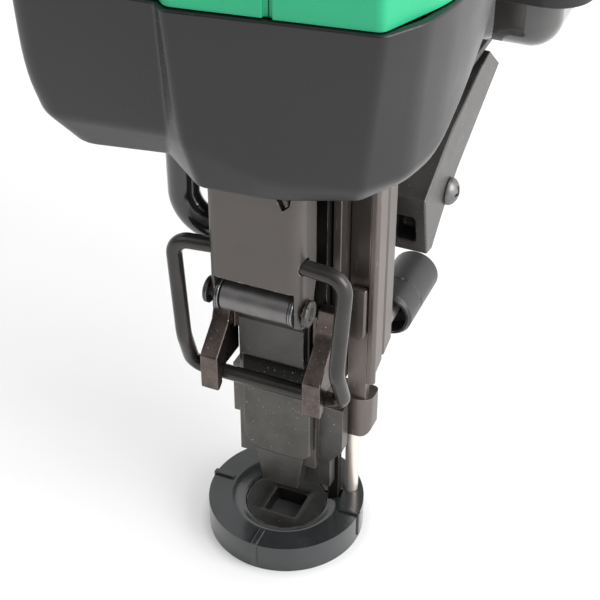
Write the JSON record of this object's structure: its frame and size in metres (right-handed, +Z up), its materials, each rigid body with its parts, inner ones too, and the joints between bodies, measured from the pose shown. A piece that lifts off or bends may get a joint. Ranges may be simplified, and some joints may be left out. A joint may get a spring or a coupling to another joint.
{
  "type": "coil roofing nailer",
  "caption": "Cordless coil roofing nailer, nose down: contact ring, latched nose with wire bail, side coil canister, green-topped housing, rear handle and battery.",
  "frame": {"origin": "on the floor plane that the contact ring stands on, under the middle of the whole tool's bounding box", "axes": "+X to the right of someone who faces the nose, +Y from the nose towards the battery, +Z up along the driving line"},
  "size_m": [0.114, 0.2778, 0.266],
  "materials": {
    "gunmetal": "dark phosphated steel",
    "lever_steel": "dark satin steel",
    "brown_steel": "brown phosphated steel with fine sparkle",
    "bright_steel": "bare machined steel",
    "black_wire": "black oxide wire",
    "rubber": "moulded black rubber",
    "black_plastic": "satin black nylon",
    "green_plastic": "satin green nylon",
    "smoked_plastic": "glossy smoked plastic",
    "aluminium": "cast aluminium"
  },
  "bodies": {
    "tool": {"nose_body": "gunmetal", "front_guide": "gunmetal", "latch_hook_left": "brown_steel", "latch_hook_right": "brown_steel", "latch_bracket": "gunmetal", "latch_pin": "gunmetal", "latch_washer_left": "bright_steel", "latch_washer_right": "bright_steel", "side_rail": "brown_steel", "lead_guard": "black_plastic", "contact_spring": "bright_steel", "feed_chute": "gunmetal", "feed_door_pin": "bright_steel", "feeder_cylinder": "rubber", "bracket_arm": "gunmetal", "arm_screw": "gunmetal", "canister_bracket": "gunmetal", "canister_base": "smoked_plastic", "canister_lid": "black_plastic", "canister_hinge_pin": "bright_steel", "platform_post": "aluminium", "front_housing": "black_plastic", "top_cover_left": "green_plastic", "top_cover_right": "green_plastic", "rear_housing": "black_plastic", "handle_left": "black_plastic", "handle_right": "black_plastic", "grip_sleeve": "rubber", "trigger_pin": "bright_steel", "trigger_switch": "black_plastic", "battery_foot": "black_plastic", "drive_frame": "aluminium", "air_cylinder": "aluminium", "bumper": "rubber", "gearbox": "aluminium", "motor_can": "aluminium"},
    "contact_trip": {"base_ring": "rubber", "contact_foot": "brown_steel", "contact_arm": "gunmetal", "contact_rod": "bright_steel"},
    "lever": {"latch_lever": "lever_steel"},
    "bail": {"wire_bail": "black_wire"},
    "door": {"feed_door": "gunmetal"},
    "pawl": {"feeder_rod": "bright_steel"},
    "cover": {"canister_cover": "smoked_plastic"},
    "cover_latch": {"canister_latch": "black_plastic"},
    "platform": {"nail_platform": "black_plastic"},
    "trigger": {"trigger": "black_plastic"},
    "selector": {"mode_selector": "black_plastic"},
    "hook": {"belt_hook": "black_wire"},
    "battery": {"battery": "black_plastic"},
    "release_left": {"battery_release_left": "black_plastic"},
    "release_right": {"battery_release_right": "black_plastic"},
    "driver": {"piston": "aluminium", "driver_blade": "bright_steel"},
    "lifter": {"lifter_wheel": "bright_steel"},
    "rotor": {"motor_rotor": "bright_steel"},
    "dial": {"depth_dial": "black_plastic"}
  },
  "joints": [
    {"name": "contact_slide", "type": "slide", "parent": "tool", "child": "contact_trip", "axis": [0, 0, 1], "range_m": [0, 0.006], "stiffness_N_per_m": 1500, "springref_m": -0.03, "deforming": ["contact_spring"]},
    {"name": "lever_hinge", "type": "hinge", "parent": "tool", "child": "lever", "pos_m": [0, -0.1238, 0.0905], "axis": [1, 0, 0], "range_deg": [0, 70]},
    {"name": "bail_hinge", "type": "hinge", "parent": "lever", "child": "bail", "pos_m": [0, -0.1236, 0.1045], "axis": [1, 0, 0], "range_deg": [-49, 0]},
    {"name": "feed_door_hinge", "type": "hinge", "parent": "tool", "child": "door", "pos_m": [-0.0108, -0.0892, 0.063], "axis": [0, 0, 1], "range_deg": [0, 80]},
    {"name": "pawl_slide", "type": "slide", "parent": "tool", "child": "pawl", "axis": [0, 1, 0], "range_m": [0, 0.006], "stiffness_N_per_m": 400, "springref_m": -0.004},
    {"name": "cover_hinge", "type": "hinge", "parent": "tool", "child": "cover", "pos_m": [-0.001, 0.0529, 0.15], "axis": [0, 0, 1], "range_deg": [0, 70]},
    {"name": "cover_latch_hinge", "type": "hinge", "parent": "cover", "child": "cover_latch", "pos_m": [0.015, -0.0486, 0.15], "axis": [1, 0, 0], "range_deg": [0, 40], "stiffness_Nm_per_rad": 0.02, "springref_deg": -11.46},
    {"name": "platform_slide", "type": "slide", "parent": "tool", "child": "platform", "axis": [0, 0, 1], "range_m": [0, 0.025]},
    {"name": "trigger_hinge", "type": "hinge", "parent": "tool", "child": "trigger", "pos_m": [0, -0.0356, 0.221], "axis": [1, 0, 0], "range_deg": [0, 12], "stiffness_Nm_per_rad": 0.6, "springref_deg": -20.05},
    {"name": "selector_hinge", "type": "hinge", "parent": "tool", "child": "selector", "pos_m": [-0.0354, 0.0776, 0.222], "axis": [1, 0, 0], "range_deg": [0, 60]},
    {"name": "belt_hook_hinge", "type": "hinge", "parent": "tool", "child": "hook", "pos_m": [0.0334, 0.0774, 0.246], "axis": [1, 0, 0], "range_deg": [0, 180]},
    {"name": "battery_slide", "type": "slide", "parent": "tool", "child": "battery", "axis": [0, 0, -1], "range_m": [0, 0.07]},
    {"name": "release_left_slide", "type": "slide", "parent": "battery", "child": "release_left", "axis": [1, 0, 0], "range_m": [0, 0.0022], "stiffness_N_per_m": 600, "springref_m": -0.002},
    {"name": "release_right_slide", "type": "slide", "parent": "battery", "child": "release_right", "axis": [-1, 0, 0], "range_m": [0, 0.0022], "stiffness_N_per_m": 600, "springref_m": -0.002},
    {"name": "driver_stroke", "type": "slide", "parent": "tool", "child": "driver", "axis": [0, 0, -1], "range_m": [0, 0.069], "stiffness_N_per_m": 100, "springref_m": -0.06},
    {"name": "rotor_spin", "type": "hinge", "parent": "tool", "child": "rotor", "pos_m": [-0.038, -0.0936, 0.1586], "axis": [1, 0, 0], "continuous": true},
    {"name": "lifter_spin", "type": "hinge", "parent": "tool", "child": "lifter", "pos_m": [0, -0.0936, 0.1586], "axis": [1, 0, 0], "continuous": true},
    {"name": "depth_dial_turn", "type": "hinge", "parent": "tool", "child": "dial", "pos_m": [0.002, -0.086, 0.118], "axis": [0, 0, 1], "range_deg": [0, 300]}
  ],
  "couplings": [
    {"joint": "bail_hinge", "follows": "lever_hinge", "ratio": -0.7},
    {"joint": "lifter_spin", "follows": "rotor_spin", "ratio": 0.083333}
  ]
}
